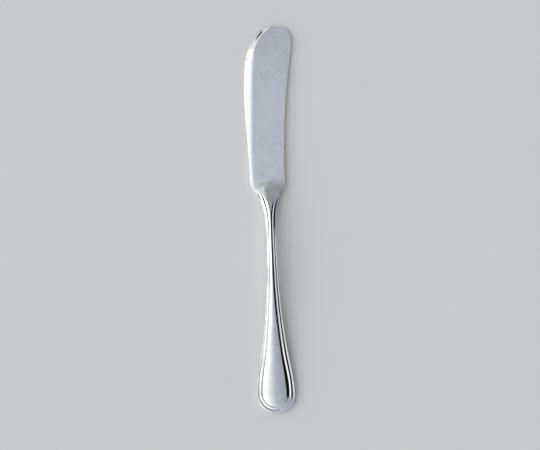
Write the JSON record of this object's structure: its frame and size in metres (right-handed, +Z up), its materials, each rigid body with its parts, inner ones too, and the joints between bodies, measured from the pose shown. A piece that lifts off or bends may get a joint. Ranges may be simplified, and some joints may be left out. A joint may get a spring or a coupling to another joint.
{
  "type": "butter knife",
  "caption": "Flat-handled butter knife in polished steel: blunt blade with a rounded tip, slim neck running onto the heel as a low ridge, broad round-ended handle with a raised panel in a double-thread border.",
  "frame": {"origin": "on the surface the knife lies on, under the middle of its outline", "axes": "+Y from the handle's end to the blade's tip, +Z up out of the front face, the cutting edge on the -X side and the spine on the +X side"},
  "size_m": [0.0214, 0.17, 0.006],
  "materials": {
    "steel": "polished stainless steel, fine lengthwise polishing lines, light scratches, slightly duller in the grooves of the border"
  },
  "bodies": {
    "root": {"knife": "steel"}
  },
  "joints": []
}
